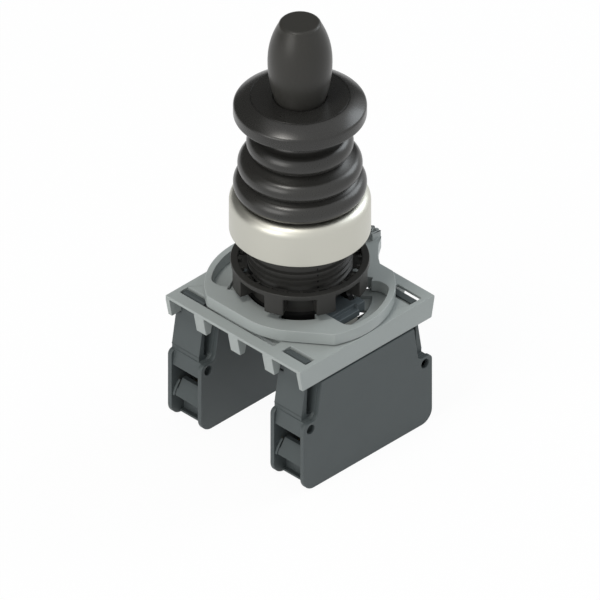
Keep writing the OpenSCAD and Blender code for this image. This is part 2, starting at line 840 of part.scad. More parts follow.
// Shrouds that keep fingers off the terminals: a slanting flap with a round flange beside it
module terminal_shrouds(side) {
    top = window_top - 3.8;
    low = strip_z;
    flap_top = block_half - 2.3;
    flap_low = block_half - 0.2;
    flap_t = 1.1;
    flange_r = 5.6;
    color("#5b6466") at_block(side) both_ends() {
        across(0.9 - chamber_x, 2 * chamber_x - 0.9) polygon([[flap_low - flap_t, low],
            [flap_low, low], [flap_top, top], [flap_top - flap_t, top]]);
        across(-chamber_x, 0.6) intersection() {
            translate([block_half - hair_gap - flange_r, low - 1.4]) circle(r = flange_r);
            translate([flap_low - flap_t - 0.8, low - 0.3]) square(6);
        }
        across(-chamber_x, 1) polygon([[flap_low - flap_t - 0.4, low], [flap_low - 0.3, low],
            [flap_low - 0.9, low + 1.1], [flap_low - flap_t - 0.4, low + 1.1]]);
    }
}

module terminal_shrouds_left() {
    terminal_shrouds(-1);
}

module terminal_shrouds_right() {
    terminal_shrouds(1);
}

module contact_strips(side) {
    color("goldenrod") at_block(side) both_ends() difference() {
        union() {
            box([-strip_x, bridge_y - 1.5, strip_z], [strip_x, sill_y, strip_z + strip_t]);
            translate([0, bridge_y, strip_z + strip_t - eps]) cylinder(r = rivet_r, h = rivet_t);
        }
        translate([0, terminal_y, strip_z - 1]) cylinder(r = screw_r, h = 3);
    }
}

module contact_strips_left() {
    contact_strips(-1);
}

module contact_strips_right() {
    contact_strips(1);
}

module terminal_screws(side) {
    head_z = clamp_z - screw_head_h;
    color("silver") at_block(side) both_ends() translate([0, terminal_y, head_z]) difference() {
        union() {
            cylinder(r = screw_head_r, h = screw_head_h);
            cylinder(r = screw_r, h = strip_z + strip_t + 1.6 - head_z);
        }
        cube([0.8, 10, 1.6], center = true);
        cube([10, 0.8, 1.6], center = true);
    }
}

module terminal_screws_left() {
    terminal_screws(-1);
}

module terminal_screws_right() {
    terminal_screws(1);
}

module wire_clamps(side) {
    color("silver") at_block(side) both_ends() difference() {
        box([-clamp_x, terminal_y - 2.8, clamp_z], [clamp_x, terminal_y + 2.8, clamp_z + clamp_t]);
        translate([0, terminal_y, clamp_z - 1]) cylinder(r = screw_r + hair_gap, h = 3);
    }
}

module wire_clamps_left() {
    wire_clamps(-1);
}

module wire_clamps_right() {
    wire_clamps(1);
}

// Plunger: a stem in the block's neck, a tower under the pusher's foot and a cage for the bridge
module plunger(side) {
    tower_out = block_mid - foot_out + hair_gap;
    color("#c9c7bd") at_block(side) scale([side, 1, 1]) difference() {
        union() {
            box([-plunger_x, -plunger_y, stem_z], [plunger_x, plunger_y, stem_top]);
            box([-plunger_x, -plunger_y, stem_top - 1], [-tower_out, plunger_y, plunger_top]);
            box([-plunger_x, -cage_y, plunger_z], [plunger_x, cage_y, stem_z + 0.6]);
        }
        box([-window_x, -5, bridge_z], [window_x, 5, bridge_z + cage_h]);
        translate([0, 0, plunger_z - 1]) cylinder(r = seat_r - 0.5, h = 2);
    }
}

module plunger_left() {
    plunger(-1);
}

module plunger_right() {
    plunger(1);
}

module contact_bridge(side) {
    color("goldenrod") at_block(side) {
        box([0.2 - window_x, -bridge_y - 1.4, bridge_z],
            [window_x - 0.2, bridge_y + 1.4, bridge_z + bridge_t]);
        both_ends() translate([0, bridge_y, bridge_z - rivet_t])
            cylinder(r = rivet_r, h = rivet_t + eps);
    }
}

module contact_bridge_left() {
    contact_bridge(-1);
}

module contact_bridge_right() {
    contact_bridge(1);
}

module bridge_spring(side) {
    color("silver") at_block(side) translate([0, 0, bridge_z + bridge_t])
        coil(window_x - 0.6, spring_wire_r, cage_h - bridge_t, 5);
}

module bridge_spring_left() {
    bridge_spring(-1);
}

module bridge_spring_right() {
    bridge_spring(1);
}

module plunger_spring(side) {
    color("silver") at_block(side) translate([0, 0, floor_z])
        coil(seat_r, spring_wire_r, plunger_z - floor_z, 5);
}

module plunger_spring_left() {
    plunger_spring(-1);
}

module plunger_spring_right() {
    plunger_spring(1);
}

bezel_collar();
panel_gasket();
threaded_barrel();
bellows_clamp_ring();
pivot_pin();
ring_nut();
base_insert();
bellows();
rocker();
hub_pin();
lever_shaft();
spacer_sleeve();
guard_disc();
disc_plate();
knob_insert();
knob();
pusher_left();
pusher_right();
pusher_spring_left();
pusher_spring_right();
adapter_plate();
locking_lever();
block_housing_left();
block_housing_right();
block_cover_left();
block_cover_right();
terminal_shrouds_left();
terminal_shrouds_right();
contact_strips_left();
contact_strips_right();
terminal_screws_left();
terminal_screws_right();
wire_clamps_left();
wire_clamps_right();
plunger_left();
plunger_right();
contact_bridge_left();
contact_bridge_right();
bridge_spring_left();
bridge_spring_right();
plunger_spring_left();
plunger_spring_right();
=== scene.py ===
# %% [markdown]
# # A panel joystick, dressed for its portrait
# The object is a two-way switch lever for a control panel: a knob on a guard disc, a rubber
# bellows, a turned metal collar, a threaded barrel with its ring nut, and two contact blocks
# clipped under a light grey adapter. The CAD model is loaded first and stays where it is. Each
# step below either gives a CAD piece its real finish or builds the detail that the CAD leaves
# out, such as the thread, the wound springs and the softened edges of moulded plastic.

# %% Load the CAD frame
import json
import math

import bmesh
import bpy
from mathutils import Matrix, Vector


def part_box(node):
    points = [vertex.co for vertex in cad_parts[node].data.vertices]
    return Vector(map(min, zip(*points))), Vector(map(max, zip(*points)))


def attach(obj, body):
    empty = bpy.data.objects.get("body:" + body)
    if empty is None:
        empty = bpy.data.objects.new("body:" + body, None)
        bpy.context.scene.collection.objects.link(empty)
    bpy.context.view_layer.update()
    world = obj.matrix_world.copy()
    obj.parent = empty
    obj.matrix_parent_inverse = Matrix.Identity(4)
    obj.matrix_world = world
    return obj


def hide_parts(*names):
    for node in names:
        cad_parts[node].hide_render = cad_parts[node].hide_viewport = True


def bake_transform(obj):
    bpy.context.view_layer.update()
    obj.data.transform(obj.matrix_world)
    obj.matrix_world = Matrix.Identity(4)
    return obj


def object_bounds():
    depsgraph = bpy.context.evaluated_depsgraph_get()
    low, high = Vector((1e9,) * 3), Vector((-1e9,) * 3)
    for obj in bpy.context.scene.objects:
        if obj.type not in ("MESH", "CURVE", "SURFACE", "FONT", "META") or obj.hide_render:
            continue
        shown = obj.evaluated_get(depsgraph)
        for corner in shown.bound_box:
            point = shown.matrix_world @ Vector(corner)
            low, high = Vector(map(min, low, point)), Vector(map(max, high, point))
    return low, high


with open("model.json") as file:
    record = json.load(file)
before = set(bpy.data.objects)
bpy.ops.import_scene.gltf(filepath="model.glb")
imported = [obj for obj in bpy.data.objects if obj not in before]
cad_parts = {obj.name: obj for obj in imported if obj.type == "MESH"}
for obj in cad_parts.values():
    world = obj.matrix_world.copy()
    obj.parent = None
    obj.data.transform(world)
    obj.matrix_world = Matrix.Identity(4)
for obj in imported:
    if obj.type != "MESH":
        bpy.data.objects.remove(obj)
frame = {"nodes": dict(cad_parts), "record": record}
nodes = frame["nodes"]
cad_box = [list(corner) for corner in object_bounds()]
scene = bpy.context.scene
MM = 0.001
print("CAD box in mm:", [[round(1000 * v, 2) for v in corner] for corner in cad_box])

# %% [markdown]
# ## The camera
# The photograph shows the object in an even, parallel view from the front right and above:
# upright edges stay parallel, and the three main directions are foreshortened alike. That is an
# isometric view. A perspective camera with a very long lens could come near it, but an
# orthographic one matches it exactly, and one number, the width of the view, sets its scale.

# %% Camera
view_width = 124.22
adapter_top = -17.4
aim_drop = 1.0145
camera_away = 0.6
view_right = Vector((1, 1, 0)).normalized()
view_back = Vector((1, -1, 1)).normalized()
view_up = view_back.cross(view_right)
aim = Vector((0, 0, adapter_top * MM)) - aim_drop * MM * view_up
camera_data = bpy.data.cameras.new("portrait_camera")
camera_data.type = "ORTHO"
camera_data.ortho_scale = view_width * MM
camera = bpy.data.objects.new("portrait_camera", camera_data)
scene.collection.objects.link(camera)
camera.location = aim + camera_away * view_back
camera.rotation_euler = Matrix((view_right, view_up, view_back)).transposed().to_euler()
scene.camera = camera
print("view width in mm:", view_width)

# %% [markdown]
# ## Sums on sockets
# Every finish below is a small tree of nodes. Written out node by node, even a simple sum takes
# four lines, so one class wraps a socket and lets Python's own signs add the Math nodes. Colours
# and vectors keep their own nodes, because a Math node would turn them grey. Every other node
# comes from one method: its settings first, since they decide which sockets exist, and then the
# values or links of those sockets.


# %% A socket that can be added and multiplied
class Flow:
    """A socket of a node tree, or the tree alone, from which nodes are added."""

    def __init__(self, tree, socket=None):
        self.tree, self.socket = tree, socket

    def node(self, kind, settings=None, inputs=None, output=0):
        """Adds a node: its settings first, then the values or links of its sockets."""
        made = self.tree.nodes.new(kind)
        for key, value in (settings or {}).items():
            setattr(made, key, value)
        for key, value in (inputs or {}).items():
            if isinstance(value, Flow):
                self.tree.links.new(value.socket, made.inputs[key])
            else:
                made.inputs[key].default_value = value
        return Flow(self.tree, made.outputs[output] if made.outputs else None)

    def beside(self, *keys):
        """More sockets of this socket's own node, by their names or numbers."""
        return [Flow(self.tree, self.socket.node.outputs[key]) for key in keys]

    def combine(self, operation, *values, clamp=False):
        """A Math node of these values, in their order."""
        settings = {"operation": operation, "use_clamp": clamp}
        return self.node("ShaderNodeMath", settings, dict(enumerate(values)))

    def math(self, operation, *others, clamp=False):
        """A Math node that takes this value first."""
        return self.combine(operation, self, *others, clamp=clamp)

    def mix(self, other, share):
        """This colour turning into another one by a share from 0 to 1."""
        settings = {"data_type": "RGBA"}
        return self.node("ShaderNodeMix", settings, {0: share, 6: self, 7: other}, 2)

    def __add__(self, other):
        return self.math("ADD", other)

    def __radd__(self, other):
        return self.combine("ADD", other, self)

    def __sub__(self, other):
        return self.math("SUBTRACT", other)

    def __rsub__(self, other):
        return self.combine("SUBTRACT", other, self)

    def __mul__(self, other):
        return self.math("MULTIPLY", other)

    def __rmul__(self, other):
        return self.combine("MULTIPLY", other, self)

    def __truediv__(self, other):
        return self.math("DIVIDE", other)

    def __rtruediv__(self, other):
        return self.combine("DIVIDE", other, self)


print("signs that add nodes: + - * /")

# %% [markdown]
# ## Helpers for meshes and bare node trees
# Many shapes are drawn in a bmesh and then kept as a mesh, the studio's props are plain objects
# with one material, and a few node trees start from nothing. The lines for each stand here once.


# %% Mesh and tree helpers
def mesh_of(bm, name):
    """The bmesh as a mesh. The bmesh is freed."""
    mesh = bpy.data.meshes.new(name)
    bm.to_mesh(mesh)
    bm.free()
    return mesh


def prop(name, mesh, material):
    """An object of the studio, which is no part of the joystick."""
    mesh.materials.append(material)
    made = bpy.data.objects.new(name, mesh)
    scene.collection.objects.link(made)
    return made


def blank_tree(owner):
    """The flow of a world's or a material's tree, emptied first."""
    owner.use_nodes = True
    owner.node_tree.nodes.clear()
    return Flow(owner.node_tree)


def onlookers(flow, share=1.0):
    """The share for rays from the camera, a mirror or glass, and 0 for every other ray."""
    camera_ray, glossy_ray, glass_ray = flow.node("ShaderNodeLightPath").beside(
        "Is Camera Ray", "Is Glossy Ray", "Is Transmission Ray")
    return (camera_ray + glossy_ray + glass_ray).math("MULTIPLY", share, clamp=True)


print("helpers: mesh_of, prop, blank_tree, onlookers")

# %% [markdown]
# ## Light and surroundings
# The portrait was lit in a white studio: one warm soft lamp high on the left gives the bright
# streak on every round edge, a cooler one behind on the right gives the second streak, and a
# broad one lower on the left fills the upright faces. The lamps are small enough to leave streaks
# and weak enough that a colour still renders about as it is written. A tall dark card curves
# round the back and is seen in reflections only: it is what keeps the tops of the black parts
# black, while their sides mirror the white floor. The world is white wherever the camera, a
# mirror-like surface or glass looks at it, and dimmer where it only lights things, so the white
# background never washes out the object.


# %% Lamps and world
def soft_lamp(name, toward, distance, size, level, tint):
    """A square lamp; level is the share of white that it alone gives a facing surface."""
    data = bpy.data.lights.new(name, "AREA")
    data.size = size
    data.energy = level * math.pi ** 2 * distance ** 2
    data.color = tint
    lamp = bpy.data.objects.new(name, data)
    scene.collection.objects.link(lamp)
    toward = Vector(toward).normalized()
    lamp.location = toward * distance
    lamp.rotation_euler = toward.to_track_quat("Z", "Y").to_euler()
    lamp.visible_camera = False


soft_lamp("lamp_high_left", toward=(0.0, -0.42, 0.91), distance=0.6, size=0.14, level=0.30,
          tint=(1.0, 0.97, 0.92))
soft_lamp("lamp_right", toward=(0.22, 0.82, 0.53), distance=0.6, size=0.30, level=0.34,
          tint=(0.90, 0.96, 1.0))
soft_lamp("lamp_fill", toward=(0.05, -0.93, 0.34), distance=0.7, size=0.40, level=0.33,
          tint=(1.0, 0.985, 0.95))

world = bpy.data.worlds.new("white_studio")
scene.world = world
sky = blank_tree(world)
sky_tint, sky_level = (0.96, 0.985, 1.0, 1), 0.56
lit = sky.node("ShaderNodeBackground", inputs={"Color": sky_tint, "Strength": sky_level})
white = sky.node("ShaderNodeBackground", inputs={"Color": (1, 1, 1, 1), "Strength": 1.0})
both = sky.node("ShaderNodeMixShader", inputs={0: onlookers(sky), 1: lit, 2: white})
sky.node("ShaderNodeOutputWorld", inputs={"Surface": both})
scene.view_settings.view_transform = "Standard"

card_radius, card_height = 1.0, 1.7
card_from, card_to = 104, 236
card_grey = 0.09
cloth = bpy.data.materials.new("card_cloth")
black = blank_tree(cloth)
dim = black.node("ShaderNodeEmission", inputs={
    "Color": (card_grey, card_grey, card_grey, 1), "Strength": 1.0})
black.node("ShaderNodeOutputMaterial", inputs={"Surface": dim})
bm = bmesh.new()
posts = [[bm.verts.new((card_radius * math.cos(math.radians(a)),
                        card_radius * math.sin(math.radians(a)), z))
          for z in (0.0, card_height)] for a in range(card_from, card_to + 1, 6)]
for (a, b), (c, d) in zip(posts, posts[1:]):
    bm.faces.new((a, b, d, c))
card = prop("dark_card", mesh_of(bm, "dark_card"), cloth)
card.visible_camera = card.visible_diffuse = card.visible_shadow = False
card.visible_transmission = card.visible_volume_scatter = False

# %% [markdown]
# ## The floor
# A pale sheet lies under the contact blocks. Its shadow is what makes the object stand on
# something, but the sheet itself should melt into the white background. So the camera sees a
# mixture: most of it plain white, the rest the lit sheet with its shadow.

# %% Floor
floor_gap = 0.02
floor_glow = 0.94
paper = bpy.data.materials.new("floor_paper")
sheet = blank_tree(paper)
matt = sheet.node("ShaderNodeBsdfDiffuse", inputs={"Color": (0.9, 0.9, 0.9, 1)})
glow = sheet.node("ShaderNodeEmission", inputs={"Color": (1, 1, 1, 1), "Strength": 1.0})
both = sheet.node("ShaderNodeMixShader", inputs={0: onlookers(sheet, floor_glow), 1: matt,
                                                 2: glow})
sheet.node("ShaderNodeOutputMaterial", inputs={"Surface": both})
bm = bmesh.new()
bmesh.ops.create_circle(bm, cap_ends=True, radius=1.5, segments=96)
bmesh.ops.translate(bm, verts=bm.verts, vec=(0, 0, cad_box[0][2] - floor_gap * MM))
prop("studio_floor", mesh_of(bm, "studio_floor"), paper)
print("floor height in mm:", round(1000 * cad_box[0][2] - floor_gap, 2))

# %% [markdown]
# ## Moulded plastic and rubber
# Injection-moulded plastic is never one flat colour. Its pigment clouds a little over some
# millimetres, and the spark-eroded mould leaves a fine matt grain of a tenth of a millimetre,
# which also breaks up the gloss. Rubber has the same two scales, but its grain is coarser and a
# pale bloom lies on it in soft patches. Noise on the object's own coordinates gives all of this
# at its real size, without any image, and turns with the piece when it moves. One more black,
# matter and darker, is painted shade: it darkens the part of the barrel that lies deep behind
# the nut, where shade falls.


# %% Plastic, nylon and rubber
def bare_finish(name, metallic=0.0, specular=0.5):
    """A material with its main shader, and the flow that its nodes are added from."""
    material = bpy.data.materials.new(name)
    material.use_nodes = True
    shader = material.node_tree.nodes["Principled BSDF"]
    shader.inputs["Metallic"].default_value = metallic
    shader.inputs["Specular IOR Level"].default_value = specular
    return material, shader, Flow(material.node_tree)


def plug(shader, **flows):
    """Links flows to the main shader's sockets, given with _ for the spaces in their names."""
    for name, flow in flows.items():
        flow.tree.links.new(flow.socket, shader.inputs[name.replace("_", " ")])


def noise(flow, point, size_mm, detail=2.0):
    """Soft noise from 0 to 1 whose patches measure size_mm."""
    return flow.node("ShaderNodeTexNoise", None,
                     {"Vector": point, "Scale": 1000 / size_mm, "Detail": detail})


grain_depth = 0.004
bloom_grey, bloom_part = 0.22, 0.45


def moulded(name, colour, roughness, specular, clouding=0.06, grain_mm=0.16, bloom=0.0):
    """Moulded plastic or rubber: clouded pigment, matt grain and, on rubber, a pale bloom."""
    material, shader, flow = bare_finish(name, specular=specular)
    here = flow.node("ShaderNodeTexCoord", output="Object")
    clouds = noise(flow, here, 7.0, 3.0)
    grain = noise(flow, here, grain_mm)
    patches = noise(flow, here, 2.2, 4.0)
    shade = 1 + (clouds - 0.5) * (2 * clouding) + (grain - 0.5) * 0.06
    pigment = flow.node("ShaderNodeVectorMath", {"operation": "SCALE"},
                        {0: colour, "Scale": shade})
    if bloom:
        pale = tuple((1 - bloom_part) * c + bloom_part * bloom_grey for c in colour)
        pigment = pigment.mix((*pale, 1), (patches - 0.35).math("MULTIPLY", bloom, clamp=True))
    gloss = roughness + (grain - 0.5) * 0.10 + (patches - 0.5) * 0.04
    bump = flow.node("ShaderNodeBump", inputs={"Strength": 0.7, "Distance": grain_depth * MM,
                                               "Height": grain})
    plug(shader, Base_Color=pigment, Roughness=gloss, Normal=bump)
    return material


finishes = {}
for name, colour, roughness, specular, extras in [
    ("light_grey_plastic", (0.325, 0.352, 0.345), 0.42, 0.35, {"clouding": 0.03}),
    ("dark_grey_plastic", (0.066, 0.078, 0.080), 0.48, 0.30, {}),
    ("black_plastic", (0.029, 0.0285, 0.0265), 0.42, 0.25, {}),
    # painted shade: a darker, matter black that stands in for the shade deep behind the nut
    ("shaded_plastic", (0.007, 0.007, 0.007), 0.55, 0.12, {}),
    ("charcoal_plastic", (0.033, 0.032, 0.029), 0.33, 0.24, {"clouding": 0.03}),
    ("disc_plastic", (0.018, 0.0177, 0.0163), 0.27, 0.46, {"clouding": 0.03}),
    ("bellows_rubber", (0.018, 0.0175, 0.0157), 0.29, 0.50,
     {"clouding": 0.04, "grain_mm": 0.22, "bloom": 0.02}),
    ("gasket_rubber", (0.02, 0.02, 0.02), 0.55, 0.25, {"bloom": 0.1}),
    ("grey_nylon", (0.10, 0.12, 0.13), 0.42, 0.35, {}),
    ("white_nylon", (0.66, 0.65, 0.60), 0.40, 0.4, {"clouding": 0.03}),
]:
    finishes[name] = moulded(name, colour, roughness, specular, **extras)
print("moulded finishes:", len(finishes))

# %% [markdown]
# ## Metals
# The collar is turned and then satin-plated, so the tool has left rings round its axis, far
# finer than the eye counts, that pull the highlights into soft bands. Noise drawn in the plane
# of radius and height repeats exactly round the axis, as turning marks do. The steel pins,
# springs and clamps are plated, with cloudy patches in their shine, and the contact parts are
# plain brass with a faint brown tarnish.


# %% Turned, plated and tarnished metal
def turned_metal(name, colour, roughness, ring_mm=0.12, depth_mm=0.0012):
    """Metal with fine rings round the Z axis."""
    material, shader, flow = bare_finish(name, metallic=1.0)
    here = flow.node("ShaderNodeTexCoord", output="Object")
    x, y, z = flow.node("ShaderNodeSeparateXYZ", inputs={0: here}).beside(0, 1, 2)
    radius = (x * x + y * y).math("SQRT")
    plane = flow.node("ShaderNodeCombineXYZ", inputs={0: radius, 1: z})
    rings = noise(flow, plane, ring_mm, 3.0)
    clouds = noise(flow, here, 5.0, 3.0)
    tone = flow.node("ShaderNodeVectorMath", {"operation": "SCALE"},
                     {0: colour, "Scale": 0.98 + rings * 0.03 + clouds * 0.02})
    bump = flow.node("ShaderNodeBump", inputs={"Strength": 0.6, "Distance": depth_mm * MM,
                                               "Height": rings})
    plug(shader, Base_Color=tone, Normal=bump,
         Roughness=roughness + (rings - 0.5) * 0.10 + (clouds - 0.5) * 0.06)
    return material


def cloudy_metal(name, colour, stain, roughness, stained):
    """Plated or bare metal whose shine and colour drift in patches."""
    material, shader, flow = bare_finish(name, metallic=1.0)
    here = flow.node("ShaderNodeTexCoord", output="Object")
    patches = noise(flow, here, 1.6, 5.0)
    fine = noise(flow, here, 0.09)
    spots = (patches - 0.45).math("MULTIPLY", stained, clamp=True)
    base = flow.node("ShaderNodeRGB")
    base.socket.default_value = (*colour, 1)
    bump = flow.node("ShaderNodeBump", inputs={"Strength": 0.4, "Distance": 0.002 * MM,
                                               "Height": fine})
    plug(shader, Base_Color=base.mix((*stain, 1), spots),
         Roughness=roughness + (fine - 0.5) * 0.12 + spots * 0.2, Normal=bump)
    return material


finishes["satin_metal"] = turned_metal("satin_metal", (0.53, 0.525, 0.47), 0.42)
finishes["steel"] = cloudy_metal("steel", (0.60, 0.60, 0.59), (0.42, 0.41, 0.40), 0.26, 1.2)
finishes["brass"] = cloudy_metal("brass", (0.72, 0.53, 0.25), (0.35, 0.20, 0.09), 0.30, 1.6)
print("finishes:", sorted(finishes))

# %% [markdown]
# ## Pieces and where they belong
# Each piece either stays as the CAD drew it or stands in for a CAD node. A small table says
# which finish every node has, and one helper does the bookkeeping for a new piece: which body
# it moves with and which node it hides. The disc has its own, glossier black.

# %% Table of finishes and the helper that settles a piece
finish_of = {
    "satin_metal": ["bezel_collar"],
    "gasket_rubber": ["panel_gasket"],
    "black_plastic": ["threaded_barrel", "ring_nut", "base_insert", "bellows_clamp_ring"],
    "bellows_rubber": ["bellows"],
    "charcoal_plastic": ["knob"],
    "disc_plastic": ["guard_disc", "disc_plate"],
    "steel": ["pivot_pin", "hub_pin", "lever_shaft", "spacer_sleeve", "pusher_spring_left",
              "pusher_spring_right", "terminal_screws_left", "terminal_screws_right",
              "wire_clamps_left", "wire_clamps_right", "bridge_spring_left",
              "bridge_spring_right", "plunger_spring_left", "plunger_spring_right"],
    "brass": ["knob_insert", "contact_strips_left", "contact_strips_right",
              "contact_bridge_left", "contact_bridge_right"],
    "grey_nylon": ["rocker", "pusher_left", "pusher_right"],
    "white_nylon": ["plunger_left", "plunger_right"],
    "light_grey_plastic": ["adapter_plate", "locking_lever"],
    "dark_grey_plastic": ["block_housing_left", "block_housing_right", "block_cover_left",
                          "block_cover_right", "terminal_shrouds_left",
                          "terminal_shrouds_right"],
}
slot_of = {node: slot for slot, members in finish_of.items() for node in members}
body_of = {node: body for body, members in frame["record"]["behaviour"]["bodies"].items()
           for node in members}
for name, obj in nodes.items():
    obj.data.materials.clear()
    obj.data.materials.append(finishes[slot_of[name]])
print("nodes with a finish:", len(slot_of), "of", len(nodes))


def smoothed(mesh, sharp):
    """Shades the mesh smooth, apart from edges that turn by more than sharp degrees."""
    mesh.polygons.foreach_set("use_smooth", [True] * len(mesh.polygons))
    mesh.set_sharp_from_angle(angle=math.radians(sharp))


def new_object(name, mesh, finish):
    """Puts a mesh into the scene as an object at the origin."""
    obj = bpy.data.objects.new(name, mesh)
    scene.collection.objects.link(obj)
    mesh.materials.clear()
    mesh.materials.append(finishes[finish])
    return obj


def settle(piece, node):
    """The piece stands in for the node: it rides with its body, and the node is hidden."""
    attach(piece, body_of[node])
    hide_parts(node)
    print(piece.name, "for", node, "-", len(piece.data.polygons), "faces")


# %% [markdown]
# ## Soft edges on moulded pieces
# No moulded edge is truly sharp: the steel of the mould has a tiny radius, and the light line
# that runs along every edge in the photograph comes from it. The CAD solids are drawn with sharp
# edges, so a copy of each visible one gets a narrow bevel. The copy's loose triangles are merged
# and its flat faces joined first, or the bevel would run along every hidden diagonal. A joined
# face that goes round a hole can be drawn wrongly, so the adapter's and the locking ring's are
# split again. Where a mitre of the bevel stands out of the CAD piece's box, it is pressed back.


# %% Bevelled copies
def baked(obj):
    """The object's evaluated mesh, with its modifiers taken off."""
    graph = bpy.context.evaluated_depsgraph_get()
    mesh = bpy.data.meshes.new_from_object(obj.evaluated_get(graph))
    mesh.name = obj.name
    obj.modifiers.clear()
    obj.data = mesh
    return mesh


def softened(node, name, edge_mm):
    """A merged copy of a CAD node with its sharp edges rounded by edge_mm."""
    bm = bmesh.new()
    bm.from_mesh(nodes[node].data)
    bmesh.ops.remove_doubles(bm, verts=bm.verts, dist=0.002 * MM)
    bmesh.ops.dissolve_limit(bm, angle_limit=math.radians(0.2), verts=bm.verts, edges=bm.edges)
    if node in ("adapter_plate", "locking_lever"):
        bmesh.ops.triangulate(bm, faces=[face for face in bm.faces if len(face.verts) > 4])
    mesh = mesh_of(bm, name)
    piece = new_object(name, mesh, slot_of[node])
    bevel = piece.modifiers.new("mould_edge", "BEVEL")
    bevel.width = edge_mm * MM
    bevel.segments = 2
    bevel.limit_method = "ANGLE"
    bevel.angle_limit = math.radians(26)
    bevel.use_clamp_overlap = False
    bevel.miter_outer = "MITER_ARC"
    mesh.polygons.foreach_set("use_smooth", [True] * len(mesh.polygons))
    even = piece.modifiers.new("even_shading", "WEIGHTED_NORMAL")
    even.keep_sharp = False
    baked(piece)
    low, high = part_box(node)
    for vertex in piece.data.vertices:
        vertex.co = [min(max(c, a), b) for c, a, b in zip(vertex.co, low, high)]
    return piece


for node, name, edge in [
    ("adapter_plate", "adapter_shell", 0.14),
    ("locking_lever", "locking_ring_shell", 0.14),
    ("ring_nut", "ring_nut_shell", 0.20),
    ("pusher_left", "pusher_left_shell", 0.12),
    ("pusher_right", "pusher_right_shell", 0.12),
    ("block_housing_left", "housing_left_shell", 0.10),
    ("block_housing_right", "housing_right_shell", 0.10),
    ("block_cover_left", "cover_left_shell", 0.12),
    ("block_cover_right", "cover_right_shell", 0.12),
    ("terminal_shrouds_left", "shrouds_left_shell", 0.08),
    ("terminal_shrouds_right", "shrouds_right_shell", 0.08),
    ("plunger_left", "plunger_left_shell", 0.10),
    ("plunger_right", "plunger_right_shell", 0.10),
]:
    settle(softened(node, name, edge), node)

# %% [markdown]
# ## Lips in the adapter's opening
# Four tabs centre the adapter on the barrel. Beside two of them the photograph shows no light
# through the opening, so small lips carry on the tabs. They end just before the places that the
# turning ring's skirts and the pushers' feet reach.


# %% Adapter lips
lip_steps = 12


def sector(bm, r0, r1, z0, z1, start, end):
    """Adds a flat piece of a ring; radii and heights in mm, angles in degrees."""
    rows = []
    for k in range(lip_steps + 1):
        a = math.radians(start + (end - start) * k / lip_steps)
        rows.append([bm.verts.new((r * MM * math.cos(a), r * MM * math.sin(a), z * MM))
                     for r, z in ((r0, z0), (r1, z0), (r1, z1), (r0, z1))])
    for a, b in zip(rows, rows[1:]):
        for k in range(4):
            bm.faces.new((a[k], b[k], b[(k + 1) % 4], a[(k + 1) % 4]))
    bm.faces.new(rows[0])
    bm.faces.new(rows[-1][::-1])


lip_in, opening_r = 11.2, 14.95
lip_low, lip_end = -19.0, 54.7
bm = bmesh.new()
for turn in (0, 180):
    sector(bm, lip_in, opening_r, lip_low, -18.3, 27.6 + turn, 29.7 + turn)
    sector(bm, lip_in, opening_r, lip_low, -17.45, 44 + turn, lip_end + turn)
    sector(bm, 9.75, lip_in + 0.1, -19.3, -18.96, 30 + turn, lip_end + turn)
bmesh.ops.recalc_face_normals(bm, faces=bm.faces)
lips = new_object("adapter_lips", mesh_of(bm, "adapter_lips"), "light_grey_plastic")
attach(lips, body_of["adapter_plate"])
print("lips beside the centring tabs:", len(lips.data.polygons), "faces")

# %% [markdown]
# ## Turned and moulded round pieces
# The collar, the guard disc, its plate and the knob are all bodies of revolution. Each could be
# a screw modifier on a curve, but a list of radius and height pairs says the same and can carry
# a round on any corner. One helper rounds the corners of such a list, and a second one turns it
# round the axis into a closed skin with single points where it meets the axis.


# %% Lathe
round_steps = 6


def rounded(corners):
    """Points [radius, height] of a closed outline; a third number rounds that corner."""
    out = []
    for i, corner in enumerate(corners):
        here = Vector(corner[:2])
        size = corner[2] if len(corner) > 2 else 0
        if not size:
            out.append(here)
            continue
        before = Vector(corners[i - 1][:2]) - here
        after = Vector(corners[(i + 1) % len(corners)][:2]) - here
        half = before.angle(after) / 2
        reach = min(size / math.tan(half), 0.49 * before.length, 0.49 * after.length)
        radius = reach * math.tan(half)
        middle = here + (before.normalized() + after.normalized()).normalized() \
            * (radius / math.sin(half))
        start = here + before.normalized() * reach - middle
        end = here + after.normalized() * reach - middle
        turn = start.angle_signed(end)
        for k in range(round_steps + 1):
            out.append(middle + Matrix.Rotation(-turn * k / round_steps, 2) @ start)
    return out


def turned(name, outline, finish, around):
    """A closed skin of revolution from an outline in millimetres."""
    bm = bmesh.new()
    rows = []
    for radius, height in outline:
        if radius < 1e-4:
            rows.append([bm.verts.new((0, 0, height * MM))] * around)
        else:
            rows.append([bm.verts.new((radius * MM * math.cos(2 * math.pi * k / around),
                                       radius * MM * math.sin(2 * math.pi * k / around),
                                       height * MM)) for k in range(around)])
    for a, b in zip(rows, rows[1:] + rows[:1]):
        for k in range(around):
            ring = [a[k], a[(k + 1) % around], b[(k + 1) % around], b[k]]
            ring = [v for i, v in enumerate(ring) if v not in ring[:i]]
            if len(ring) > 2:
                bm.faces.new(ring)
    bmesh.ops.remove_doubles(bm, verts=bm.verts, dist=0.0005 * MM)
    bmesh.ops.recalc_face_normals(bm, faces=bm.faces)
    mesh = mesh_of(bm, name)
    smoothed(mesh, 32)
    return new_object(name, mesh, finish)


def arc(cx, cz, r, start, end, steps):
    """Points on an arc, the angles in degrees from +radius towards +height."""
    return [[cx + r * math.cos(math.radians(start + (end - start) * k / steps)),
             cz + r * math.sin(math.radians(start + (end - start) * k / steps))]
            for k in range(steps + 1)]


print("a square with one round corner has", len(rounded([[1, 0], [2, 0], [2, 1, 0.2], [1, 1]])),
      "points")

